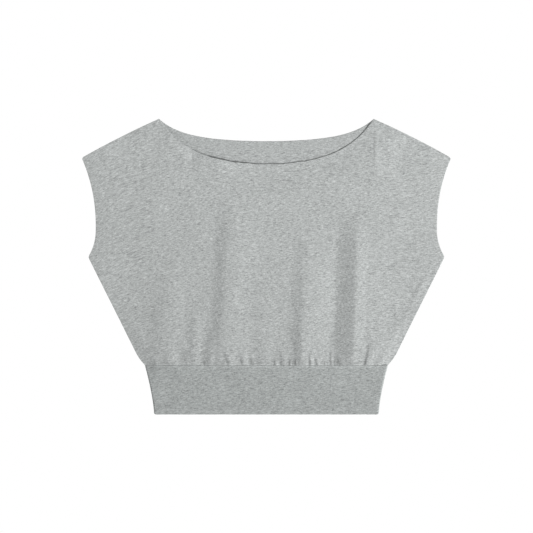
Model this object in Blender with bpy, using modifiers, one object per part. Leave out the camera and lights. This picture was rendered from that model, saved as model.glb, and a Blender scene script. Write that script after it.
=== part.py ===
"""Cropped top with a boat neck, cut-on cap sleeves and a gathered waistband, laid flat, front up.

Metres. +X is the right-hand side seen from above, +Y runs from hem to neck and +Z is up.
The origin lies on the surface that the top rests on, in the middle of its outline.
"""

import math

import bmesh
import bpy

# Outline, as half widths and heights of the flat garment
LENGTH = 0.4852
BAND_HEIGHT = 0.080
HEM_HALF = 0.1843
SEAM_HALF = 0.1996
UNDERARM_HALF = 0.2924
ARMHOLE_HALF = 0.2798
TIP_HALF = 0.3030
NECK_HALF = 0.1760
SHOULDER_DROP = 0.0641
SHOULDER_BOW = 0.0020
ARMHOLE_LENGTH = 0.1624
ARMHOLE_WAIST_DROP = 0.1133
SIDE_TUCK = 0.0046
SIDE_TUCK_REACH = 0.020
FRONT_NECK_DEPTH = 0.0740
BACK_NECK_DEPTH = 0.0364

# Heights on the page, measured from the middle of the outline
HEM_Y = -LENGTH / 2
SEAM_Y = HEM_Y + BAND_HEIGHT
NECK_Y = LENGTH / 2
TIP_Y = NECK_Y - SHOULDER_DROP
UNDERARM_Y = TIP_Y - ARMHOLE_LENGTH
ARMHOLE_WAIST_Y = TIP_Y - ARMHOLE_WAIST_DROP

# How fast each outline curve turns away: powers for the armhole and band, shares of x^2, x^4 and
# x^8 for the necks
ARMHOLE_UPPER_POWER = 2.15
ARMHOLE_LOWER_POWER = 2.5
BAND_TAPER_POWER = 1.45
FRONT_NECK_SHARES = (0.46, 0.41, 0.13)
BACK_NECK_SHARES = (0.40, 0.32, 0.28)

# Cloth
JERSEY = 0.0012
TURNED_HEM = 2 * JERSEY
HEM_WIDTH = 0.015
HEM_FADE = 0.005
GAP = 0.0003
BAND_WALL = 2 * JERSEY
BAND_SLOT = 0.0006
BAND_THICKNESS = 2 * BAND_WALL + BAND_SLOT
BAND_EDGE_DIP = 0.0007
BAND_EDGE_REACH = 0.004

# Loose lie of the front, which stands clear of the back at the hems, inside and along the band,
# and comes down to it along the side and shoulder seams
LOFT = 2 * TURNED_HEM + 2 * GAP - (2 * JERSEY + GAP)
LOFT_REACH = 0.070
BAND_LOFT_SIDE = 0.014
FOLD_EDGE_REACH = 0.022
BACK_SEAM_RISE = 0.0006
BACK_GATHER_EDGE = 0.030

# Long soft folds of the front: crest x at the seam and at the top end, sideways bow between them,
# height of the top end above the seam, ridge height, and the ridge's half widths at its foot
LONG_FOLDS = [
    # seam_x, top_x, bow, reach, height, left, right
    (-0.1660, -0.1610, -0.003, 0.190, 0.0024, 0.036, 0.030),
    (-0.0850, -0.0440, -0.004, 0.285, 0.0040, 0.032, 0.046),
    (0.0610, 0.0850, -0.002, 0.250, 0.0042, 0.028, 0.036),
    (0.1400, 0.1470, 0.006, 0.285, 0.0068, 0.027, 0.023),
]

# Gathers sewn into the band, front: crest x at the seam, sideways lean at the top end, height of
# the top end above the seam, ridge height, and half widths
FRONT_GATHERS = [
    # seam_x, lean, reach, height, left, right
    (-0.1820, -0.002, 0.020, 0.0010, 0.006, 0.007),
    (-0.1560, -0.011, 0.052, 0.0016, 0.012, 0.012),
    (-0.1270, -0.010, 0.049, 0.0018, 0.008, 0.013),
    (-0.1190, 0.003, 0.115, 0.0020, 0.014, 0.014),
    (-0.0990, 0.002, 0.033, 0.0014, 0.007, 0.008),
    (-0.0600, -0.013, 0.039, 0.0019, 0.006, 0.014),
    (-0.0370, -0.008, 0.036, 0.0021, 0.006, 0.010),
    (-0.0200, -0.007, 0.030, 0.0013, 0.006, 0.008),
    (-0.0080, -0.004, 0.125, 0.0022, 0.012, 0.013),
    (0.0150, -0.002, 0.022, 0.0011, 0.006, 0.007),
    (0.0290, -0.005, 0.046, 0.0021, 0.006, 0.010),
    (0.0430, 0.000, 0.020, 0.0011, 0.006, 0.006),
    (0.0730, -0.003, 0.030, 0.0016, 0.006, 0.006),
    (0.0860, -0.006, 0.040, 0.0018, 0.006, 0.011),
    (0.1040, 0.002, 0.046, 0.0014, 0.006, 0.006),
    (0.1200, 0.000, 0.030, 0.0018, 0.008, 0.007),
    (0.1650, 0.008, 0.052, 0.0019, 0.006, 0.009),
    (0.1840, 0.002, 0.026, 0.0012, 0.006, 0.007),
]

# Gathers of the back, which lift off the surface between the places where it rests
BACK_GATHERS = [
    # seam_x, lean, reach, height, left, right
    (-0.1560, -0.006, 0.060, 0.0009, 0.012, 0.012),
    (-0.1220, 0.004, 0.090, 0.0012, 0.014, 0.013),
    (-0.0860, -0.004, 0.070, 0.0010, 0.012, 0.014),
    (-0.0500, 0.003, 0.110, 0.0012, 0.015, 0.013),
    (-0.0160, -0.003, 0.060, 0.0009, 0.012, 0.012),
    (0.0180, 0.004, 0.085, 0.0011, 0.013, 0.014),
    (0.0540, -0.002, 0.065, 0.0010, 0.013, 0.012),
    (0.0900, 0.005, 0.105, 0.0012, 0.014, 0.014),
    (0.1270, 0.003, 0.070, 0.0010, 0.012, 0.013),
    (0.1600, 0.006, 0.055, 0.0009, 0.012, 0.012),
]
# The seam holds folds and gathers down to this share of their height, and they swell above it
HELD_AT_SEAM = 0.22
SWELL_REACH = 0.010
BACK_HELD_AT_SEAM = 0.5
SEAM_WAVE_REACH = 0.022

# Soft ripples of the waistband: x, half width and depth
BAND_RIPPLES = [
    # x, half_width, depth
    (-0.165, 0.022, 0.0005),
    (-0.060, 0.030, 0.0003),
    (0.045, 0.028, 0.0003),
    (0.128, 0.016, 0.0005),
]

# Mesh density: columns across half the neck and across one shoulder, rows up the side seam and up
# the armhole, the shares of a panel's height where the rows of its top hem lie, and the waistband's
# columns and rows
FRONT_COLUMNS = (30, 21)
BACK_COLUMNS = (20, 13)
FRONT_ROWS = (12, 6)
BACK_ROWS = (7, 5)
ROW_CROWDING = 1.7
HEM_ROW_SHARES = (0.93, 0.955)
BAND_FACE_COLUMNS = 60
BAND_FOLD_COLUMNS = 6
BAND_ROWS = (0.0, 0.02, 0.3, 0.62, 0.82, 0.95, 1.0)

JERSEY_COLOUR = (0.43, 0.445, 0.44, 1.0)
BAND_COLOUR = (0.385, 0.40, 0.396, 1.0)
JERSEY_ROUGHNESS = 0.92


def smooth(share):
    share = min(1.0, max(0.0, share))
    return share * share * (3 - 2 * share)


def ridge(offset, left, right):
    """A rounded ridge, 1 on its crest and 0 at its foot, with its own width on each side."""
    half_width = left if offset < 0 else right
    return math.cos(math.pi / 2 * min(1.0, abs(offset) / half_width)) ** 2


def body_half(y):
    """Half the body's width at height y: side seam, then armhole, then the tips' full width."""
    if y >= TIP_Y:
        return TIP_HALF
    if y >= ARMHOLE_WAIST_Y:
        share = (y - ARMHOLE_WAIST_Y) / (TIP_Y - ARMHOLE_WAIST_Y)
        return ARMHOLE_HALF + (TIP_HALF - ARMHOLE_HALF) * share**ARMHOLE_UPPER_POWER
    if y >= UNDERARM_Y:
        share = (ARMHOLE_WAIST_Y - y) / (ARMHOLE_WAIST_Y - UNDERARM_Y)
        return ARMHOLE_HALF + (UNDERARM_HALF - ARMHOLE_HALF) * share**ARMHOLE_LOWER_POWER
    share = (y - SEAM_Y) / (UNDERARM_Y - SEAM_Y)
    straight = SEAM_HALF + SIDE_TUCK + (UNDERARM_HALF - SEAM_HALF - SIDE_TUCK) * share
    return straight - SIDE_TUCK * max(0.0, 1 - (y - SEAM_Y) / SIDE_TUCK_REACH) ** 2


def band_half(y):
    """Half the waistband's width, which tapers from the seam to the hem."""
    share = (y - HEM_Y) / BAND_HEIGHT
    return HEM_HALF + (SEAM_HALF - HEM_HALF) * share**BAND_TAPER_POWER


def shoulder_y(x):
    """Height of the shoulder seam, a slightly bowed line from the neck point to the tip."""
    share = (x - NECK_HALF) / (TIP_HALF - NECK_HALF)
    return NECK_Y - SHOULDER_DROP * share + 4 * SHOULDER_BOW * share * (1 - share)


def neck_y(x, depth, shares):
    """Height of a neck edge that falls from the neck points to its depth in the middle."""
    square = (x / NECK_HALF) ** 2
    rise = shares[0] * square + shares[1] * square**2 + shares[2] * square**4
    return NECK_Y - depth * (1 - rise)


def top_y(x, depth, shares):
    x = abs(x)
    return shoulder_y(x) if x > NECK_HALF else neck_y(x, depth, shares)


def neck_distance(x, y, depth, shares):
    """Distance of a point of a panel from that panel's neck edge."""
    x = abs(x)
    if x > NECK_HALF:
        return math.hypot(x - NECK_HALF, NECK_Y - y)
    step = 0.001
    slope = (neck_y(x, depth, shares) - neck_y(x - step, depth, shares)) / step
    return (neck_y(x, depth, shares) - y) / math.hypot(1, slope)


def armhole_distance(x, y):
    x = abs(x)
    if y > UNDERARM_Y:
        return body_half(y) - x
    return math.hypot(UNDERARM_HALF - x, UNDERARM_Y - y)


def shoulder_distance(x, y):
    x = abs(x)
    if x > NECK_HALF:
        return shoulder_y(x) - y
    return math.hypot(NECK_HALF - x, NECK_Y - y)


def hem_share(x, y, depth, shares, fade):
    """1 inside the turned hems of the neck and armholes, falling to 0 past them."""
    distance = min(neck_distance(x, y, depth, shares), armhole_distance(x, y))
    return 1 - smooth((distance - HEM_WIDTH) / fade)


def swell(y, held):
    """Share of its height that a fold has at height y, from the share held at the seam up to 1."""
    return held + (1 - held) * smooth((y - SEAM_Y) / SWELL_REACH)


def gather_height(x, y, gathers):
    """Height that the gathers in the table add at a point, at most that of the highest one."""
    above = y - SEAM_Y
    found = 0.0
    for seam_x, lean, reach, height, left, right in gathers:
        if above < reach:
            share = above / reach
            along = math.cos(math.pi / 2 * share) ** 2
            widen = 1 + 0.6 * share
            offset = x - seam_x - lean * share
            found = max(found, height * along * ridge(offset, left * widen, right * widen))
    return found


def fold_height(x, y):
    """Height of the long soft folds of the front at a point."""
    above = y - SEAM_Y
    total = 0.0
    for seam_x, top_x, bow, reach, height, left, right in LONG_FOLDS:
        share = above / reach
        if share < 1:
            crest = seam_x + (top_x - seam_x) * share + 4 * bow * share * (1 - share)
            total += height * smooth((1 - share) * 1.7) * ridge(x - crest, left, right)
    return total


def back_rise(x, y):
    """Height of the back's underside above the surface it rests on, 0 over most of it."""
    side = body_half(y) - abs(x)
    along_seam = BACK_SEAM_RISE * (1 - smooth((y - SEAM_Y) / SIDE_TUCK_REACH))
    gathers = gather_height(x, y, BACK_GATHERS) * swell(y, BACK_HELD_AT_SEAM)
    return max(along_seam * smooth(side / BAND_LOFT_SIDE), gathers * smooth(side / BACK_GATHER_EDGE))


def front_loft(x, y):
    """Share of the full loft that the front has at a point: 1 at hems, inside and at the band."""
    side = body_half(y) - abs(x)
    hems = max(
        hem_share(x, y, FRONT_NECK_DEPTH, FRONT_NECK_SHARES, LOFT_REACH),
        hem_share(x, y, BACK_NECK_DEPTH, BACK_NECK_SHARES, LOFT_REACH),
    )
    inside = smooth(side / LOFT_REACH) * smooth(shoulder_distance(x, y) / LOFT_REACH)
    band = (1 - smooth((y - SEAM_Y) / LOFT_REACH)) * smooth(side / BAND_LOFT_SIDE)
    return 1 - (1 - hems) * (1 - inside) * (1 - band)


def front_relief(x, y):
    """Height of the front's folds and gathers, which die away towards its closed edges."""
    side = body_half(y) - abs(x)
    closed = smooth(side / FOLD_EDGE_REACH) * smooth(shoulder_distance(x, y) / FOLD_EDGE_REACH)
    relief = fold_height(x, y) + gather_height(x, y, FRONT_GATHERS)
    return relief * closed * swell(y, HELD_AT_SEAM)


def front_top(x, y):
    """Height of the front's outer face."""
    loft = front_loft(x, y)
    return 2 * JERSEY + GAP + LOFT * loft + back_rise(x, y) * (1 - loft) + front_relief(x, y)


def column_shares(neck_columns, shoulder_columns):
    """Shares of the half width, from -1 to 1, with a column exactly at each neck point."""
    neck_share = NECK_HALF / TIP_HALF
    half = [neck_share * i / neck_columns for i in range(1, neck_columns + 1)]
    half += [neck_share + (1 - neck_share) * i / shoulder_columns for i in range(1, shoulder_columns + 1)]
    return [-share for share in reversed(half)] + [0.0] + half


def row_shares(side_rows, armhole_rows):
    """Shares of the height, from the seam up, with rows at the underarm and below its hem."""
    underarm = (UNDERARM_Y - SEAM_Y) / (TIP_Y - SEAM_Y)
    below_hem = underarm - (HEM_WIDTH + HEM_FADE) / (TIP_Y - SEAM_Y)
    lower = [below_hem * (i / side_rows) ** ROW_CROWDING for i in range(side_rows + 1)] + [underarm]
    top = HEM_ROW_SHARES[0]
    upper = [underarm + (top - underarm) * i / armhole_rows for i in range(1, armhole_rows)]
    return lower + upper + list(HEM_ROW_SHARES) + [1.0]


def panel_point(column, row, depth, shares):
    """The page position of a point at these shares of a panel's width and height."""
    y_top = NECK_Y
    for _ in range(30):
        y_top = top_y(column * body_half(y_top), depth, shares)
    bottom = SEAM_Y + GAP
    y = bottom + row * (y_top - bottom)
    return column * body_half(y), y


def grid_mesh(columns, rows, place):
    """A grid of faces whose points stand where place(column number, row number) says."""
    mesh = bmesh.new()
    bmesh.ops.create_grid(mesh, x_segments=columns, y_segments=rows, size=1)
    for vertex in mesh.verts:
        column = round((vertex.co.x + 1) / 2 * columns)
        row = round((vertex.co.y + 1) / 2 * rows)
        vertex.co = place(column, row)
    return mesh


def cloth_object(name, mesh, material, collection):
    data = bpy.data.meshes.new(name)
    mesh.to_mesh(data)
    mesh.free()
    data.materials.append(material)
    data.shade_smooth()
    made = bpy.data.objects.new(name, data)
    collection.objects.link(made)
    return made


def add_wall(made, thickness, offset):
    wall = made.modifiers.new("wall", "SOLIDIFY")
    wall.thickness = thickness
    wall.offset = offset
    return wall


def make_panel(name, columns, rows, neck, height, offset, material, collection):
    """A body panel: a grid that fills its outline, thick as jersey and double at its turned hems."""
    depth, shares = neck
    across = column_shares(*columns)
    up = row_shares(*rows)

    def place(column, row):
        x, y = panel_point(across[column], up[row], depth, shares)
        return x, y, height(x, y)

    mesh = grid_mesh(len(across) - 1, len(up) - 1, place)
    panel = cloth_object(name, mesh, material, collection)
    hem = panel.vertex_groups.new(name="turned_hem")
    for vertex in panel.data.vertices:
        share = hem_share(vertex.co.x, vertex.co.y, depth, shares, HEM_FADE)
        hem.add([vertex.index], share, "REPLACE")
    wall = add_wall(panel, TURNED_HEM, offset)
    wall.vertex_group = hem.name
    wall.thickness_vertex_group = JERSEY / TURNED_HEM
    return panel


def band_ring():
    """The waistband's flattened section: (share of the flat width, angle round the side fold)."""
    flat = [(2 * i / BAND_FACE_COLUMNS - 1, math.pi / 2) for i in range(BAND_FACE_COLUMNS + 1)]
    fold = [(1, math.pi / 2 - math.pi * i / BAND_FOLD_COLUMNS) for i in range(1, BAND_FOLD_COLUMNS)]
    upper = flat + fold
    return upper + [(-share, angle + math.pi) for share, angle in upper] + upper[:1]


def band_relief(x, y):
    """How far the waistband's upper face rises with the gathers above it, less its own dips."""
    below = SEAM_Y - y
    wave = front_relief(x, SEAM_Y) * (1 - smooth(below / SEAM_WAVE_REACH))
    ripples = sum(depth * ridge(x - at, half, half) for at, half, depth in BAND_RIPPLES)
    edge = BAND_EDGE_DIP * (1 - smooth(below / BAND_EDGE_REACH))
    return wave - max(ripples, edge)


def make_waistband(material, collection):
    """A flattened tube of doubled jersey, open at the seam and at the hem."""
    ring = band_ring()
    radius = BAND_THICKNESS / 2

    def place(column, row):
        share, angle = ring[column]
        y = HEM_Y + BAND_ROWS[row] * (BAND_HEIGHT - GAP)
        x = share * (band_half(y) - radius) + radius * math.cos(angle)
        z = radius + radius * math.sin(angle)
        if math.sin(angle) > 0:
            z += band_relief(x, y) * math.sin(angle) * smooth((band_half(y) - abs(x)) / BAND_LOFT_SIDE)
        return x, y, z

    mesh = grid_mesh(len(ring) - 1, len(BAND_ROWS) - 1, place)
    bmesh.ops.remove_doubles(mesh, verts=mesh.verts, dist=0.00001)
    band = cloth_object("waistband", mesh, material, collection)
    add_wall(band, BAND_WALL, -1)
    return band


def make_material(name, colour):
    material = bpy.data.materials.new(name)
    material.use_nodes = True
    shader = material.node_tree.nodes["Principled BSDF"]
    shader.inputs["Base Color"].default_value = colour
    shader.inputs["Roughness"].default_value = JERSEY_ROUGHNESS
    shader.inputs["Metallic"].default_value = 0.0
    return material


def main():
    for old in list(bpy.data.objects):
        bpy.data.objects.remove(old)
    collection = bpy.data.collections.new("crop_t_shirt")
    bpy.context.scene.collection.children.link(collection)
    jersey = make_material("heather_jersey", JERSEY_COLOUR)
    band_jersey = make_material("waistband_jersey", BAND_COLOUR)
    front_neck = (FRONT_NECK_DEPTH, FRONT_NECK_SHARES)
    back_neck = (BACK_NECK_DEPTH, BACK_NECK_SHARES)
    make_panel("front_panel", FRONT_COLUMNS, FRONT_ROWS, front_neck, front_top, -1, jersey, collection)
    make_panel("back_panel", BACK_COLUMNS, BACK_ROWS, back_neck, back_rise, 1, jersey, collection)
    make_waistband(band_jersey, collection)


main()
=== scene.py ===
"""Looks of the cropped jersey top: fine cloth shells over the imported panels, heather jersey and light.

Metres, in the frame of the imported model: +X to the right, +Y from hem to neck, +Z up.
"""

import math

import bpy
import numpy as np
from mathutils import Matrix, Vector


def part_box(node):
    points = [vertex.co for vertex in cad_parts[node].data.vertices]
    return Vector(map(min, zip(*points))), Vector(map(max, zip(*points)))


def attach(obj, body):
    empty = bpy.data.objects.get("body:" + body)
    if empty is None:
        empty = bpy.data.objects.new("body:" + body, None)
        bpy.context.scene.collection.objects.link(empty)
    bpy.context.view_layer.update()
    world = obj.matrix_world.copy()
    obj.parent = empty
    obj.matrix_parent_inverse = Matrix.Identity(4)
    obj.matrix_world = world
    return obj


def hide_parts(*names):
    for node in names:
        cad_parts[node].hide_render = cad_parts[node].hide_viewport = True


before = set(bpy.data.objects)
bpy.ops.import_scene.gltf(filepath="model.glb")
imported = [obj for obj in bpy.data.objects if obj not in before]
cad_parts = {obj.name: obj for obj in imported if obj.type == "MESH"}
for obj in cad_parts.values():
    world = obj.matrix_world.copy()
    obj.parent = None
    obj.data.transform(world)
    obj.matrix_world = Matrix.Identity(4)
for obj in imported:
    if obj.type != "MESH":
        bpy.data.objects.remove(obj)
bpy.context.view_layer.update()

# The photograph, square
PHOTO_PIXELS = 533
MM = 0.001
PIXEL = 1.64 * MM

# Outline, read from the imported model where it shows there
_, BACK_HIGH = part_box("back_panel")
BAND_LOW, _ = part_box("waistband")
GAP = 0.3 * MM
NECK_Y = BACK_HIGH.y
HEM_Y = BAND_LOW.y
BAND_HEIGHT = 81.2 * MM
SEAM_Y = HEM_Y + BAND_HEIGHT
HEM_HALF = 184.3 * MM
SEAM_HALF = 199.6 * MM
UNDERARM_HALF = 292.4 * MM
ARMHOLE_HALF = 279.8 * MM
TIP_HALF = BACK_HIGH.x
NECK_HALF = 176.0 * MM
SHOULDER_DROP = 64.1 * MM
SHOULDER_BOW = 2.0 * MM
TIP_Y = NECK_Y - SHOULDER_DROP
UNDERARM_Y = TIP_Y - 162.4 * MM
ARMHOLE_WAIST_Y = TIP_Y - 113.3 * MM
SIDE_TUCK = 4.6 * MM
SIDE_TUCK_REACH = 20 * MM
FRONT_NECK_DEPTH = 74.0 * MM
BACK_NECK_DEPTH = 36.4 * MM
ARMHOLE_UPPER_POWER = 2.15
ARMHOLE_LOWER_POWER = 2.5
BAND_TAPER_POWER = 1.45
# Neck edges: depth, shares of the rise by its powers, and share of the wavering that each has
FRONT_NECK = (FRONT_NECK_DEPTH, (0.46, 0.41, 0.13), 1.0)
BACK_NECK = (BACK_NECK_DEPTH, (0.40, 0.32, 0.28), 0.3)
UNDERARM_ROUNDING = 2.5 * MM
TIP_ROUNDING = 3.5 * MM
# Lean of the armhole's upper end, sideways to upwards
ARMHOLE_END_LEAN = 0.44

# Cloth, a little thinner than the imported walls
JERSEY = 0.7 * MM
TURNED_HEM = 1.1 * MM
PACKED_JERSEY = 1.2 * MM
PACKED_HEM = 2 * PACKED_JERSEY
HEM_WIDTH = 15 * MM
HEM_FADE = 5 * MM
EDGE_ARC_STEPS = 6
EDGE_EASE = 8 * MM
BAND_WALL = PACKED_HEM
BAND_SLOT = 0.6 * MM
BAND_THICKNESS = 2 * BAND_WALL + BAND_SLOT
HEM_CORNER = 2.5 * MM
SEAM_ROUNDING = 0.35 * MM
SEAM_GAP = 0.1 * MM

# Lie of the front above the back
FLAT_LIE = 2 * PACKED_JERSEY + GAP
LOFT = 2 * PACKED_HEM + 2 * GAP - FLAT_LIE
LOFT_REACH = 110 * MM
BAND_LOFT_SIDE = 22 * MM
FOLD_EDGE_REACH = 22 * MM
BACK_SEAM_RISE = 0.6 * MM
BACK_GATHER_EDGE = 30 * MM

# Long soft folds of the front, all in mm: crest x at the seam and at the top end, sideways bow
# between them, height of the top end above the seam, length over which the fold rises from its
# top end, ridge height and its two half widths
LONG_FOLDS = [
    # seam_x, top_x, bow, reach, ramp, height, left, right
    (-175.0, -150.0, -3, 200, 110, 1.9, 30, 45),
    (-76.0, -58.0, 3, 290, 110, 3.6, 27, 60),
    (59.0, 75.0, -2, 245, 130, 3.2, 28, 58),
]
# Creased ones, with the same columns: straight sides, a narrow crest or, below 0, a narrow bottom
CREASED_FOLDS = [
    # seam_x, top_x, bow, reach, ramp, height, left, right
    (57.5, 63.0, 0, 130, 80, 0.8, 14, 30),
    (106.0, 127.0, 0, 250, 80, -2.0, 60, 32),
    (142.0, 146.0, 2, 268, 80, 3.0, 34, 60),
    (142.0, 146.0, 2, 262, 70, 2.0, 34, 20),
]
CREASE_CREST = 0.08
CREASE_FOOT = 0.10

# Gathers of the front, in mm: crest x at the seam, lean at the top end, height of the top end
# above the seam, ridge height and its two half widths
FRONT_GATHERS = [
    # seam_x, lean, reach, height, left, right
    (-181.9, -1, 13, 0.9, 3, 5),
    (-156.0, -11, 52, 1.5, 12, 11),
    (-148.5, -1, 9, 0.9, 2.5, 4),
    (-127.0, -10, 49, 1.4, 10, 13),
    (-119.0, 3, 115, 2.0, 14, 14),
    (-99.1, -4, 16, 1.8, 4, 8),
    (-93.0, 4, 75, 1.9, 14, 10),
    (-59.7, -13, 39, 1.9, 5, 14),
    (-68.7, 0, 13, 0.6, 2, 4),
    (-36.7, -8, 36, 2.2, 5, 10),
    (-20.3, -7, 30, 1.3, 4, 8),
    (-8.9, -8, 46, 1.2, 6, 12),
    (-6.0, -2, 170, 1.3, 22, 22),
    (14.6, 0, 16, 1.3, 2.8, 5.7),
    (28.9, -5, 46, 1.6, 7, 10),
    (39.2, -1, 18, 1.6, 2.8, 4),
    (43.6, 0, 10, 0.8, 1.8, 3.3),
    (49.0, 0, 18, 1.6, 2.8, 4),
    (57.0, 2, 60, 1.5, 12, 16),
    (63.3, 0, 16, 1.3, 3.3, 5),
    (73.5, -2, 26, 2.5, 4.2, 6),
    (85.4, -7, 24, 2.3, 6, 8),
    (85.4, 0, 56, 0.8, 3.3, 10),
    (91.0, 0, 9, 1.3, 2.2, 3),
    (96.0, 0, 10, 1.3, 2.2, 3),
    (101.0, 0, 9, 1.1, 2.2, 3),
    (106.5, 1, 46, 1.3, 3, 5),
    (112.5, 1, 30, 0.9, 2.5, 4),
    (123.5, -8, 26, 1.8, 8, 12),
    (130.9, 0, 39, 0.5, 2.5, 5),
    (163.5, 13, 54, 2.3, 5, 14),
    (171.5, 3, 12, 0.9, 2.5, 4),
]

# Gathers of the back, in mm, which lift off the surface between the places where it rests
BACK_GATHERS = [
    # seam_x, lean, reach, height, left, right
    (-156.0, -6, 60, 0.9, 12, 12),
    (-122.0, 4, 90, 1.2, 14, 13),
    (-86.0, -4, 70, 1.0, 12, 14),
    (-50.0, 3, 110, 1.2, 15, 13),
    (-16.0, -3, 60, 0.9, 12, 12),
    (18.0, 4, 85, 1.1, 13, 14),
    (54.0, -2, 65, 1.0, 13, 12),
    (90.0, 5, 105, 1.2, 14, 14),
    (127.0, 3, 70, 1.0, 12, 13),
    (160.0, 6, 55, 0.9, 12, 12),
]

# Rise of the front above its even lie along the neck edge, in mm: it stands open to the left of
# the middle and lies flat to the right of it
NECK_LIFTS = [
    # x, rise
    (-176, 0.0),
    (-160, 1.0),
    (-140, 1.0),
    (-122, -0.8),
    (-105, 0.9),
    (-80, 1.6),
    (-50, -0.6),
    (-20, -2.3),
    (10, -2.9),
    (50, -2.9),
    (80, -3.3),
    (110, -3.3),
    (136, -3.2),
    (160, -3.0),
    (176, -2.2),
]
NECK_LIFT_REACH = 60 * MM
# Slight wavering of the sewn neck edges, in mm: wave lengths and heights
NECK_WAVES = [
    # length, height
    (41.0, 0.25),
    (17.0, 0.18),
    (9.5, 0.10),
]

# Low ridge of the turned seam allowance inside the right side seam
SIDE_RIDGE_INSET = 15 * MM
SIDE_RIDGE_HALF = 8 * MM
SIDE_RIDGE_HEIGHT = 0.6 * MM
SIDE_RIDGE_Y = -45 * MM
SIDE_RIDGE_REACH = 75 * MM

# Share of their height that folds and gathers keep at the seam, and how soon they reach it all
FOLD_SWELL = (0.8, 60 * MM)
GATHER_SWELL = (0.85, 6 * MM)
BACK_SWELL = (0.5, 10 * MM)
# Share by which a gather is wider at its top end than at the seam
GATHER_SPREAD = 0.6
# Shares of the heights at the seam that the waistband's upper edge follows, and for how far
BAND_SHARES = (0.35, 0.3)
SEAM_WAVE_REACH = 6 * MM

# Soft ripples of the waistband, in mm
BAND_RIPPLES = [
    # x, half_width, depth
    (-165.0, 22, 0.5),
    (-60.0, 30, 0.3),
    (45.0, 28, 0.3),
    (128.0, 16, 0.5),
]
# Left end of the seam, in mm, where the band sinks to meet the cloth above: x, half width, depth
# and how far down it reaches
SUNK_SEAM = (-198.0, 42, 2.8, 12)
# Dip along the waistband's upper edge, ridges of the seam allowance on both sides of the seam, and
# fall of the upper face towards the hem
BAND_EDGE_DIP = 0.2 * MM
BAND_EDGE_REACH = 1.6 * MM
ALLOWANCE_RISE = 1.2 * MM
ALLOWANCE_REACH = 4.0 * MM
BODY_ALLOWANCE_RISE = 1.1 * MM
BODY_ALLOWANCE_REACH = 9.0 * MM
HEM_EASE = 0.5 * MM
HEM_EASE_REACH = 6.0 * MM
HEM_EASE_FLAT = 2.0 * MM

# Mesh density
FRONT_COLUMNS = (104, 76)
FRONT_ROWS = 124
BACK_COLUMNS = (70, 50)
BACK_ROWS = 80
BAND_FACE_COLUMNS = 260
BAND_FOLD_COLUMNS = 10
BAND_ROW_COUNT = 44
# Extra density of a panel's rows, and the share of the height over which it fades
SEAM_CROWDING = (2.6, 0.10)
TOP_CROWDING = (2.2, 0.03)
# Passes in which a column's top point settles on the panel's edge
TOP_PASSES = 30


def smooth(share):
    share = np.clip(share, 0.0, 1.0)
    return share * share * (3 - 2 * share)


def ridge(offset, left, right):
    """A rounded ridge, 1 on its crest and 0 at its foot, with its own width on each side."""
    half_width = np.where(offset < 0, left, right)
    return np.cos(math.pi / 2 * np.minimum(1.0, np.abs(offset) / half_width)) ** 2


def crease(offset, left, right):
    """A straight-sided ridge, 1 on its narrowly rounded crest and 0 at its foot."""
    away = np.abs(offset) / np.where(offset < 0, left, right)
    fall = np.hypot(away, CREASE_CREST) - CREASE_CREST
    up = np.maximum(0, 1 - fall / (math.hypot(1, CREASE_CREST) - CREASE_CREST))
    return up**2 * (1 + CREASE_FOOT) / (up + CREASE_FOOT)


def sharp_body_half(y):
    """Half the body's width at height y: side seam, then armhole, then the tips' full width."""
    upper = np.clip((y - ARMHOLE_WAIST_Y) / (TIP_Y - ARMHOLE_WAIST_Y), 0, 1)
    lower = np.clip((ARMHOLE_WAIST_Y - y) / (ARMHOLE_WAIST_Y - UNDERARM_Y), 0, 1)
    armhole = ARMHOLE_HALF + (TIP_HALF - ARMHOLE_HALF) * upper**ARMHOLE_UPPER_POWER
    armhole = armhole + (UNDERARM_HALF - ARMHOLE_HALF) * lower**ARMHOLE_LOWER_POWER
    share = (y - SEAM_Y) / (UNDERARM_Y - SEAM_Y)
    straight = SEAM_HALF + SIDE_TUCK + (UNDERARM_HALF - SEAM_HALF - SIDE_TUCK) * share
    side = straight - SIDE_TUCK * np.clip(1 - (y - SEAM_Y) / SIDE_TUCK_REACH, 0, 1) ** 2
    return np.where(y < UNDERARM_Y, side, armhole)


def body_half(y):
    """The same with a rounded corner at the underarm."""
    near = np.abs(y - UNDERARM_Y) < UNDERARM_ROUNDING
    steps = (-1.0, -0.5, 0.0, 0.5, 1.0)
    rounded = sum(sharp_body_half(UNDERARM_Y + step * UNDERARM_ROUNDING) for step in steps) / len(steps)
    reach = np.abs(y - UNDERARM_Y) / UNDERARM_ROUNDING
    sharp = sharp_body_half(y)
    return np.where(near, sharp + (rounded - UNDERARM_HALF) * (1 - reach) ** 2, sharp)


def band_half(y):
    """Half the waistband's width, which tapers from the seam to the hem's rounded corners."""
    share = np.clip((y - HEM_Y) / BAND_HEIGHT, 0, 1)
    straight = HEM_HALF + (SEAM_HALF - HEM_HALF) * share**BAND_TAPER_POWER
    into = np.clip(HEM_CORNER - (y - HEM_Y), 0, HEM_CORNER)
    return straight - (HEM_CORNER - np.sqrt(HEM_CORNER**2 - into**2))


def shoulder_y(x):
    """Height of the shoulder seam, a slightly bowed line from the neck point to the tip."""
    share = (x - NECK_HALF) / (TIP_HALF - NECK_HALF)
    return NECK_Y - SHOULDER_DROP * share + 4 * SHOULDER_BOW * share * (1 - share)


def neck_y(x, neck):
    """Height of a neck edge that falls from the neck points to its depth in the middle."""
    depth, shares, waver = neck
    square = (x / NECK_HALF) ** 2
    rise = shares[0] * square + shares[1] * square**2 + shares[2] * square**4
    waves = sum(height * np.sin(2 * math.pi * x / MM / length) for length, height in NECK_WAVES) * MM
    return NECK_Y - depth * (1 - rise) + waver * waves * (1 - square)


def top_y(x, neck):
    return np.where(np.abs(x) > NECK_HALF, shoulder_y(np.abs(x)), neck_y(x, neck))


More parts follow.
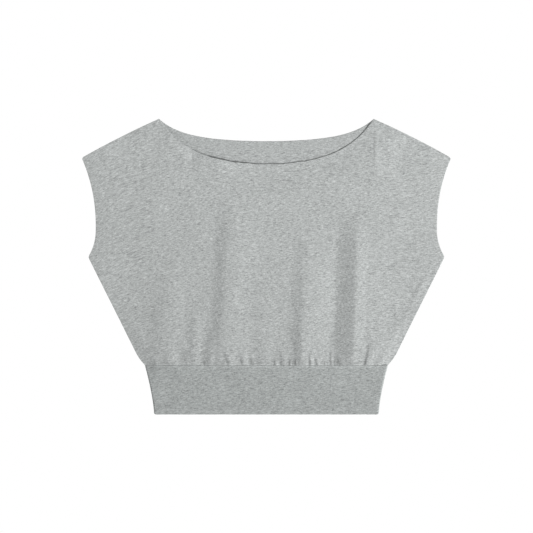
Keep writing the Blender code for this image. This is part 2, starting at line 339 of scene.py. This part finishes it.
def neck_distance(x, y, neck):
    """Distance of a point of a panel from that panel's neck edge."""
    step = MM
    slope = (neck_y(x + step, neck) - neck_y(x - step, neck)) / (2 * step)
    inside = (neck_y(x, neck) - y) / np.hypot(1, slope)
    outside = np.abs(x) > NECK_HALF
    return np.where(outside, np.hypot(np.abs(x) - NECK_HALF, NECK_Y - y), inside)


def armhole_distance(x, y):
    x = np.abs(x)
    below = np.hypot(UNDERARM_HALF - x, UNDERARM_Y - y)
    return np.where(y > UNDERARM_Y, body_half(y) - x, below)


def shoulder_distance(x, y):
    x = np.abs(x)
    return np.where(x > NECK_HALF, shoulder_y(x) - y, np.hypot(NECK_HALF - x, NECK_Y - y))


def hem_share(x, y, neck, fade):
    """1 inside the turned hems of the neck and armholes, falling to 0 past them."""
    distance = np.minimum(neck_distance(x, y, neck), armhole_distance(x, y))
    return 1 - smooth((distance - HEM_WIDTH) / fade)


def swell(y, held, reach):
    """Share of its height that a fold has at height y, from the share held at the seam up to 1."""
    return held + (1 - held) * smooth((y - SEAM_Y) / reach)


def gather_height(x, y, gathers):
    """Height that the gathers in the table add at a point, at most that of the highest one."""
    above = (y - SEAM_Y) / MM
    found = np.zeros_like(x)
    for seam_x, lean, reach, height, left, right in gathers:
        share = np.clip(above / reach, 0, 1)
        along = np.cos(math.pi / 2 * share) ** 2
        widen = 1 + GATHER_SPREAD * share
        offset = x / MM - seam_x - lean * share
        found = np.maximum(found, height * along * ridge(offset, left * widen, right * widen))
    return found * MM


def fold_height(x, y):
    """Height of the long soft folds of the front at a point."""
    above = (y - SEAM_Y) / MM
    total = np.zeros_like(x)
    for folds, profile in ((LONG_FOLDS, ridge), (CREASED_FOLDS, crease)):
        for seam_x, top_x, bow, reach, ramp, height, left, right in folds:
            share = np.clip(above / reach, 0, 1)
            crest = seam_x + (top_x - seam_x) * share + 4 * bow * share * (1 - share)
            total += height * smooth((reach - above) / ramp) * profile(x / MM - crest, left, right)
    return total * MM


def back_rise(x, y):
    """Height of the back's underside above the surface it rests on, 0 over most of it."""
    side = body_half(y) - np.abs(x)
    along_seam = BACK_SEAM_RISE * (1 - smooth((y - SEAM_Y) / SIDE_TUCK_REACH))
    gathers = gather_height(x, y, BACK_GATHERS) * swell(y, *BACK_SWELL)
    return np.maximum(
        along_seam * smooth(side / BAND_LOFT_SIDE), gathers * smooth(side / BACK_GATHER_EDGE)
    )


def front_loft(x, y):
    """Share of the full loft that the front has at a point: 1 at hems, inside and at the band."""
    side = body_half(y) - np.abs(x)
    hems = np.maximum(
        hem_share(x, y, FRONT_NECK, LOFT_REACH), hem_share(x, y, BACK_NECK, LOFT_REACH)
    )
    inside = smooth(side / LOFT_REACH) * smooth(shoulder_distance(x, y) / LOFT_REACH)
    band = (1 - smooth((y - SEAM_Y) / LOFT_REACH)) * smooth(side / BAND_LOFT_SIDE)
    return 1 - (1 - hems) * (1 - inside) * (1 - band)


def front_relief(x, y, share_of_folds=1.0, share_of_gathers=1.0):
    """Height of the front's folds and gathers, which die away towards its closed edges."""
    side = body_half(y) - np.abs(x)
    closed = smooth(side / FOLD_EDGE_REACH) * smooth(shoulder_distance(x, y) / FOLD_EDGE_REACH)
    folds = fold_height(x, y) * swell(y, *FOLD_SWELL)
    gathers = gather_height(x, y, FRONT_GATHERS) * swell(y, *GATHER_SWELL)
    return (share_of_folds * folds + share_of_gathers * gathers) * closed


def neck_lift(x, y):
    """Rise or fall of the front near its neck edge."""
    lift = np.interp(x / MM, *zip(*NECK_LIFTS)) * MM
    return lift * (1 - smooth(neck_distance(x, y, FRONT_NECK) / NECK_LIFT_REACH))


def seam_rise(x, y):
    """Rise of the front over the seam allowance, as it nears the waistband."""
    rise = BODY_ALLOWANCE_RISE * (1 - smooth((y - SEAM_Y) / BODY_ALLOWANCE_REACH))
    return rise * smooth((body_half(y) - np.abs(x)) / BAND_LOFT_SIDE)


def side_ridge(x, y):
    """The ridge that the turned seam allowance makes inside the right side seam."""
    offset = body_half(y) - x - SIDE_RIDGE_INSET
    along = ridge(y - SIDE_RIDGE_Y, SIDE_RIDGE_REACH, SIDE_RIDGE_REACH)
    return SIDE_RIDGE_HEIGHT * along * ridge(offset, SIDE_RIDGE_HALF, SIDE_RIDGE_HALF)


def back_top(x, y, wall):
    """Height of the back's upper face, inside the garment."""
    return back_rise(x, y) + wall


def front_top(x, y, wall):
    """Height of the front's outer face, which is the same over thick and thin cloth."""
    loft = front_loft(x, y)
    lie = FLAT_LIE + LOFT * loft + back_rise(x, y) * (1 - loft)
    return lie + front_relief(x, y) + neck_lift(x, y) + side_ridge(x, y) + seam_rise(x, y)


def column_shares(neck_columns, shoulder_columns):
    """Shares of the half width, from -1 to 1, with a column exactly at each neck point."""
    neck_share = NECK_HALF / TIP_HALF
    inner = np.linspace(0, neck_share, neck_columns + 1)
    outer = np.linspace(neck_share, 1, shoulder_columns + 1)[1:]
    half = np.concatenate([inner, outer])
    return np.concatenate([-half[:0:-1], half])


def row_shares(rows):
    """Shares of the height from the seam to the top edge, closest at the seam and the top."""
    at = np.linspace(0, 1, 2001)
    (seam_more, seam_fade), (top_more, top_fade) = SEAM_CROWDING, TOP_CROWDING
    density = 1 + seam_more * np.exp(-at / seam_fade) + top_more * np.exp((at - 1) / top_fade)
    along = np.concatenate([[0], np.cumsum((density[1:] + density[:-1]) / 2)])
    return np.interp(np.linspace(0, along[-1], rows + 1), along, at)


def panel_points(columns, rows, neck):
    """The x and y of each point of a panel's grid, rows first."""
    across, up = column_shares(*columns), row_shares(rows)
    y_top = np.full_like(across, NECK_Y)
    for _ in range(TOP_PASSES):
        y_top = top_y(across * body_half(y_top), neck)
    y = SEAM_Y + up[:, None] * (y_top - SEAM_Y)[None, :]
    x = across[None, :] * body_half(y)
    return round_tips(x, y)


def round_tips(x, y):
    """Rounds the corner between each shoulder seam and armhole."""
    side_normal = Vector((-1.0, ARMHOLE_END_LEAN)).normalized()
    drop = SHOULDER_DROP / (TIP_HALF - NECK_HALF)
    shoulder_normal = Vector((-drop, -1.0)).normalized()
    from_side = (body_half(y) - np.abs(x)) * -side_normal.x
    from_shoulder = (shoulder_y(np.abs(x)) - y) * -shoulder_normal.y
    a = np.clip(TIP_ROUNDING - from_side, 0, TIP_ROUNDING)
    b = np.clip(TIP_ROUNDING - from_shoulder, 0, TIP_ROUNDING)
    near = (y > UNDERARM_Y) & (np.abs(x) > NECK_HALF) & (a > 0) & (b > 0)
    shrink = np.where(near, 1 - np.maximum(a, b) / np.maximum(np.hypot(a, b), 1e-9), 0)
    move_x = shrink * (a * side_normal.x + b * shoulder_normal.x)
    move_y = shrink * (a * side_normal.y + b * shoulder_normal.y)
    return x + np.sign(x) * move_x, y + move_y


def grid_faces(number):
    """Quads between the numbers of a grid of points, rows first, facing up."""
    corners = [number[:-1, :-1], number[:-1, 1:], number[1:, 1:], number[1:, :-1]]
    return np.stack([corner.ravel() for corner in corners], axis=1)


def mesh_object(name, points, faces, materials, slots=0):
    """A smooth mesh of quads, each with the number of its material."""
    data = bpy.data.meshes.new(name)
    data.from_pydata(points.tolist(), [], faces.tolist())
    data.shade_smooth()
    for material in materials:
        data.materials.append(material)
    data.polygons.foreach_set("material_index", np.full(len(faces), 0) + slots)
    made = bpy.data.objects.new(name, data)
    bpy.context.scene.collection.objects.link(made)
    return made


def edge_loop(rows, columns):
    """Row and column of each point on a grid's border, anticlockwise from the lower left."""
    bottom = [(0, column) for column in range(columns)]
    right = [(row, columns - 1) for row in range(1, rows)]
    top = [(rows - 1, column) for column in range(columns - 2, -1, -1)]
    left = [(row, 0) for row in range(rows - 2, 0, -1)]
    return np.array(bottom + right + top + left).T


def outward(x, y):
    """Unit vectors that point out of an anticlockwise loop of points."""
    along = np.stack([np.roll(x, -1) - np.roll(x, 1), np.roll(y, -1) - np.roll(y, 1)])
    along /= np.hypot(*along)
    return along[1], -along[0]


def draw_in(x, y, loop, radius):
    """Moves a grid's border in by the radius of its rounded edge, and eases the rows beside it."""
    normal = np.zeros((2, *x.shape))
    normal[:, loop[0], loop[1]] = outward(x[tuple(loop)], y[tuple(loop)])
    move, total = np.zeros_like(normal), np.zeros_like(x)
    for line in (np.s_[..., :1, :], np.s_[..., -1:, :], np.s_[..., :1], np.s_[..., -1:]):
        weight = np.clip(1 - np.hypot(x - x[line], y - y[line]) / EDGE_EASE, 0, 1)
        move += weight * normal[line]
        total += weight
    move *= radius / np.maximum(total, 1)
    return x - move[0], y - move[1]


def make_panel(name, columns, rows, neck, top, materials, upper_side, lower_side):
    """A panel of cloth with the height of its upper face, turned hems and rounded edges."""
    x, y = panel_points(columns, rows, neck)
    wall = JERSEY + (TURNED_HEM - JERSEY) * hem_share(x, y, neck, HEM_FADE)
    loop = edge_loop(*x.shape)
    out_x, out_y = outward(x[tuple(loop)], y[tuple(loop)])
    over = top(x, y, wall)
    x, y = draw_in(x, y, loop, wall / 2)
    faces = [np.stack([x, y, over], axis=2), np.stack([x, y, over - wall], axis=2)]
    number = np.arange(x.size).reshape(x.shape)
    rim = [number[tuple(loop)]]
    points = [face.reshape(-1, 3) for face in faces]
    radius, middle = wall[tuple(loop)] / 2, (over - wall / 2)[tuple(loop)]
    for step in range(1, EDGE_ARC_STEPS):
        angle = math.pi * step / EDGE_ARC_STEPS
        reach = radius * math.sin(angle)
        arc_x, arc_y = x[tuple(loop)] + out_x * reach, y[tuple(loop)] + out_y * reach
        points.append(np.stack([arc_x, arc_y, middle + radius * math.cos(angle)], axis=1))
        rim.append(2 * x.size + (step - 1) * radius.size + np.arange(radius.size))
    rim.append(x.size + number[tuple(loop)])
    rim = np.array(rim)
    rim = np.concatenate([rim, rim[:, :1]], axis=1)
    quads = [grid_faces(number), x.size + grid_faces(number)[:, ::-1], grid_faces(rim)[:, ::-1]]
    sides = [upper_side, lower_side, 0]
    slots = np.concatenate([np.full(len(part), side) for part, side in zip(quads, sides)])
    return mesh_object(name, np.concatenate(points), np.concatenate(quads), materials, slots)


def band_relief(x, y):
    """How far the waistband's upper face rises or dips at a point."""
    below = SEAM_Y - y
    wave = front_relief(x, np.full_like(y, SEAM_Y), *BAND_SHARES)
    wave = wave * (1 - smooth(below / SEAM_WAVE_REACH))
    ripples = sum(depth * ridge(x / MM - at, half, half) for at, half, depth in BAND_RIPPLES) * MM
    edge = BAND_EDGE_DIP * (1 - smooth(below / BAND_EDGE_REACH))
    allowance = ALLOWANCE_RISE * (1 - smooth(below / ALLOWANCE_REACH))
    hem = HEM_EASE * (1 - smooth((y - HEM_Y - HEM_EASE_FLAT) / HEM_EASE_REACH))
    return wave - ripples - edge + allowance - hem


def band_sink(x, y):
    """How far the left end of the waistband's upper edge sinks at a point."""
    at, half_width, depth, reach = SUNK_SEAM
    below = (SEAM_Y - y) / MM
    return depth * ridge(x / MM - at, half_width, half_width) * (1 - smooth(below / reach)) * MM


def make_waistband(name, materials):
    """A flattened tube of doubled jersey, with the hem's fold and the seam's edge rounded."""
    radius, edge = BAND_THICKNESS / 2, BAND_WALL / 2
    flat = np.linspace(-1, 1, BAND_FACE_COLUMNS + 1)
    turn = math.pi * np.arange(1, BAND_FOLD_COLUMNS) / BAND_FOLD_COLUMNS
    share = np.concatenate([flat, np.ones_like(turn), -flat, -np.ones_like(turn)])
    angle = np.concatenate([np.zeros_like(flat), turn, np.full_like(flat, math.pi), math.pi + turn])
    low, high = HEM_Y + edge, SEAM_Y - SEAM_GAP - SEAM_ROUNDING
    up = low + (high - low) * (0.5 - 0.5 * np.cos(math.pi * np.linspace(0, 1, BAND_ROW_COUNT + 1)))
    arc = math.pi * np.arange(1, EDGE_ARC_STEPS) / EDGE_ARC_STEPS
    over, under = high + SEAM_ROUNDING * np.sin(arc), low - edge * np.sin(arc)
    y = np.concatenate([up, over, up[::-1], under])[:, None]
    side = np.concatenate([np.ones_like(up), np.cos(arc), -np.ones_like(up), -np.cos(arc)])[:, None]
    inset = edge * (1 - side)
    y = y + np.zeros_like(share)
    half = band_half(y)
    x = share * (half - radius) + (radius - inset) * np.sin(angle)
    upper = np.clip(np.cos(angle), 0, 1)
    relief = band_relief(x, y) * smooth((half - np.abs(x)) / BAND_LOFT_SIDE) - band_sink(x, y)
    z = radius + (radius - inset) * np.cos(angle) + relief * upper
    inner_floor = BAND_WALL + BAND_SLOT / 6
    z = np.where((side < 0) & (np.cos(angle) > 0), np.maximum(z, inner_floor), z)
    number = np.arange(x.size).reshape(x.shape)
    number = np.concatenate([number, number[:, :1]], axis=1)
    number = np.concatenate([number, number[:1]])
    points = np.stack([x, y, z], axis=2).reshape(-1, 3)
    return mesh_object(name, points, grid_faces(number), materials)


class Nodes:
    """Short ways to add and join a material's nodes."""

    def __init__(self, material):
        self.tree = material.node_tree

    def add(self, kind, **values):
        node = self.tree.nodes.new(kind)
        for key, value in values.items():
            setattr(node, key, value)
        return node

    def join(self, source, target):
        self.tree.links.new(source, target)

    def math(self, operation, first, second=None):
        node = self.add("ShaderNodeMath", operation=operation)
        for socket, value in zip(node.inputs, (first, second)):
            if value is None:
                continue
            if isinstance(value, (int, float)):
                socket.default_value = value
            else:
                self.join(value, socket)
        return node.outputs[0]

    def noise(self, vector, along, across, turn=0, detail=1.0, roughness=0.6):
        """Noise from 0 to 1 about 0.5, with features of this size in mm, turned by some degrees."""
        mapping = self.add("ShaderNodeMapping", vector_type="TEXTURE")
        mapping.inputs["Scale"].default_value = (along * MM, across * MM, across * MM)
        mapping.inputs["Rotation"].default_value = (0, 0, math.radians(turn))
        self.join(vector, mapping.inputs["Vector"])
        noise = self.add("ShaderNodeTexNoise")
        noise.inputs["Scale"].default_value = 1.0
        noise.inputs["Detail"].default_value = detail
        noise.inputs["Roughness"].default_value = roughness
        self.join(mapping.outputs[0], noise.inputs["Vector"])
        return noise.outputs["Fac"]


BODY_ALBEDO = (0.407, 0.4225, 0.418)
INSIDE_ALBEDO = (0.385, 0.400, 0.396)
BAND_ALBEDO = (0.3545, 0.372, 0.367)

# Heather, in mm and degrees: streak sizes along and across the courses, how far they turn from
# them, how strongly they sway the colour, and their detail
HEATHER = [
    # along, across, turn, sway, detail
    (8.0, 1.1, 8, 0.35, 0),
    (4.4, 1.1, -5, 0.32, 0),
    (2.0, 1.0, 24, 0.38, 0),
    (38.0, 30.0, 0, 0.06, 1),
]
NAP = (1.2, 0.4)
# Slope of the courses towards the left tip, per square metre from the middle
COURSE_DROOP = 5.2
WALE = 1.15 * MM
COURSE = 0.85 * MM
WARP = 2.2 * MM
WARP_SIZE = (26, 18)
LOOP_SLANT = 1.3
KNIT_DEPTH = 0.10 * MM
# Painted shade of the knit: the height about which it sways the colour, and how far, lighter on the
# loops' crowns and darker in the grooves between them
KNIT_MEAN = 0.4
KNIT_GROOVE_SHADE = 0.10
FUZZ_SHARE = 0.8
BUMP_STRENGTH = 0.6
ROUGHNESS = 0.9
ROUGHNESS_SWAY = -0.25
SPECULAR = 0.25
SHEEN = 0.12
SHEEN_ROUGHNESS = 0.6


def knit_height(nodes, vector):
    """The columns of slanting loops on a jersey's right side, 0 to 1."""
    split = nodes.add("ShaderNodeSeparateXYZ")
    nodes.join(vector, split.inputs[0])
    across = nodes.math("DIVIDE", split.outputs["X"], WALE)
    leg = nodes.math("PINGPONG", across, 0.5)
    groove = nodes.math("SINE", nodes.math("MULTIPLY", leg, 2 * math.pi))
    along = nodes.math("DIVIDE", split.outputs["Y"], COURSE)
    slanted = nodes.math("ADD", along, nodes.math("MULTIPLY", leg, LOOP_SLANT))
    loop = nodes.math("ABSOLUTE", nodes.math("SINE", nodes.math("MULTIPLY", slanted, math.pi)))
    return nodes.math("MULTIPLY", nodes.math("ABSOLUTE", groove), loop)


def jersey_material(name, albedo, sway):
    """Matt heather jersey: grey streaks along the courses, fine fibres, knit loops with painted shade
    darkening the grooves between them, and a soft nap.
    """
    material = bpy.data.materials.new(name)
    material.use_nodes = True
    nodes = Nodes(material)
    shader = material.node_tree.nodes["Principled BSDF"]
    place = nodes.add("ShaderNodeTexCoord").outputs["Object"]

    bend = nodes.noise(place, *WARP_SIZE)
    lift = nodes.math("MULTIPLY", nodes.math("SUBTRACT", bend, 0.5), WARP)
    split = nodes.add("ShaderNodeSeparateXYZ")
    nodes.join(place, split.inputs[0])
    left = nodes.math("MINIMUM", split.outputs["X"], 0.0)
    droop = nodes.math("MULTIPLY", nodes.math("POWER", left, 3), -COURSE_DROOP / 3)
    shift = nodes.add("ShaderNodeCombineXYZ")
    nodes.join(nodes.math("ADD", lift, droop), shift.inputs["Y"])
    warped = nodes.add("ShaderNodeVectorMath", operation="ADD")
    nodes.join(place, warped.inputs[0])
    nodes.join(shift.outputs[0], warped.inputs[1])
    warped = warped.outputs[0]

    tone = 0.0
    for along, across, turn, weight, detail in HEATHER:
        layer = nodes.noise(warped, along, across, turn, detail)
        part = nodes.math("MULTIPLY", nodes.math("SUBTRACT", layer, 0.5), weight * sway * 2)
        tone = nodes.math("ADD", part, tone)
    knit = knit_height(nodes, warped)
    # Painted shade: the colour is lighter on the knit loops' crowns and darker in the grooves between
    # them, following the knit's height
    groove_shade = nodes.math("MULTIPLY", nodes.math("SUBTRACT", knit, KNIT_MEAN), KNIT_GROOVE_SHADE)
    tone = nodes.math("ADD", tone, groove_shade)
    factor = nodes.math("ADD", tone, 1.0)

    colour = nodes.add("ShaderNodeVectorMath", operation="SCALE")
    colour.inputs[0].default_value = albedo
    nodes.join(factor, colour.inputs["Scale"])
    nodes.join(colour.outputs[0], shader.inputs["Base Color"])

    rough = nodes.math("MULTIPLY_ADD", tone, ROUGHNESS_SWAY)
    rough.node.inputs[2].default_value = ROUGHNESS
    nodes.join(rough, shader.inputs["Roughness"])
    shader.inputs["Specular IOR Level"].default_value = SPECULAR
    shader.inputs["Sheen Weight"].default_value = SHEEN
    shader.inputs["Sheen Roughness"].default_value = SHEEN_ROUGHNESS

    fuzz = nodes.noise(warped, *NAP)
    height = nodes.math("ADD", knit, nodes.math("MULTIPLY", fuzz, FUZZ_SHARE))
    bump = nodes.add("ShaderNodeBump")
    bump.inputs["Distance"].default_value = KNIT_DEPTH
    bump.inputs["Strength"].default_value = BUMP_STRENGTH
    nodes.join(height, bump.inputs["Height"])
    nodes.join(bump.outputs[0], shader.inputs["Normal"])
    return material


# Floor: pale, and plain white as the camera sees it
FLOOR_COLOUR = (0.9, 0.9, 0.9, 1)
FLOOR_ROUGHNESS = 0.9
FLOOR_SIZE = 12


def floor_material(name):
    material = bpy.data.materials.new(name)
    material.use_nodes = True
    nodes = Nodes(material)
    shader = material.node_tree.nodes["Principled BSDF"]
    shader.inputs["Base Color"].default_value = FLOOR_COLOUR
    shader.inputs["Roughness"].default_value = FLOOR_ROUGHNESS
    glow = nodes.add("ShaderNodeEmission")
    mix = nodes.add("ShaderNodeMixShader")
    nodes.join(nodes.add("ShaderNodeLightPath").outputs["Is Camera Ray"], mix.inputs["Fac"])
    nodes.join(shader.outputs[0], mix.inputs[1])
    nodes.join(glow.outputs[0], mix.inputs[2])
    nodes.join(mix.outputs[0], material.node_tree.nodes["Material Output"].inputs["Surface"])
    return material


def make_floor():
    bpy.ops.mesh.primitive_plane_add(size=FLOOR_SIZE, location=(0, 0, -GAP))
    floor = bpy.context.object
    floor.name = "floor"
    floor.data.materials.append(floor_material("pale_floor"))


# Light: a pale surround and one soft light from the right
SURROUND = 0.445
KEY_DISTANCE = 7.0
KEY_ELEVATION = 34
KEY_AZIMUTH = -27
KEY_SIZE = 1.3
KEY_POWER = 128
KEY_SPREAD = 62
KEY_AIM = Vector((-1.0, 3.4, 0))


def make_light():
    world = bpy.data.worlds.new("surround")
    bpy.context.scene.world = world
    world.use_nodes = True
    background = world.node_tree.nodes["Background"]
    background.inputs["Color"].default_value = (1, 1, 1, 1)
    background.inputs["Strength"].default_value = SURROUND
    lamp = bpy.data.lights.new("key", "AREA")
    lamp.size = KEY_SIZE
    lamp.energy = KEY_POWER
    lamp.spread = math.radians(KEY_SPREAD)
    key = bpy.data.objects.new("key", lamp)
    bpy.context.scene.collection.objects.link(key)
    rise, turn = math.radians(KEY_ELEVATION), math.radians(KEY_AZIMUTH)
    level = math.cos(rise)
    direction = Vector((level * math.cos(turn), level * math.sin(turn), math.sin(rise)))
    key.location = direction * KEY_DISTANCE
    key.rotation_euler = (key.location - KEY_AIM).to_track_quat("Z", "Y").to_euler()


# Camera: straight above, far enough away that nothing leans
LENS = 100.0
SENSOR = 36.0
AIM = Vector((0.16 * MM, 0.3 * MM, 5 * MM))


def make_camera():
    data = bpy.data.cameras.new("camera")
    data.lens = LENS
    data.sensor_width = SENSOR
    camera = bpy.data.objects.new("camera", data)
    bpy.context.scene.collection.objects.link(camera)
    distance = PHOTO_PIXELS * PIXEL * LENS / SENSOR
    camera.location = AIM + Vector((0, 0, distance))
    bpy.context.scene.camera = camera


def dress(piece, node):
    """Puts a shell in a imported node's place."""
    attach(piece, "root")
    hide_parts(node)


bpy.context.scene.view_settings.view_transform = "Standard"
make_floor()
make_light()
make_camera()
outside = jersey_material("heather_jersey", BODY_ALBEDO, 1.0)
inside = jersey_material("heather_jersey_inside", INSIDE_ALBEDO, 1.0)
band_jersey = jersey_material("waistband_jersey", BAND_ALBEDO, 1.0)
front = make_panel(
    "jersey_front", FRONT_COLUMNS, FRONT_ROWS, FRONT_NECK, front_top, [outside, inside], 0, 1
)
back = make_panel(
    "jersey_back", BACK_COLUMNS, BACK_ROWS, BACK_NECK, back_top, [outside, inside], 1, 0
)
waistband = make_waistband("jersey_waistband", [band_jersey])
dress(front, "front_panel")
dress(back, "back_panel")
dress(waistband, "waistband")
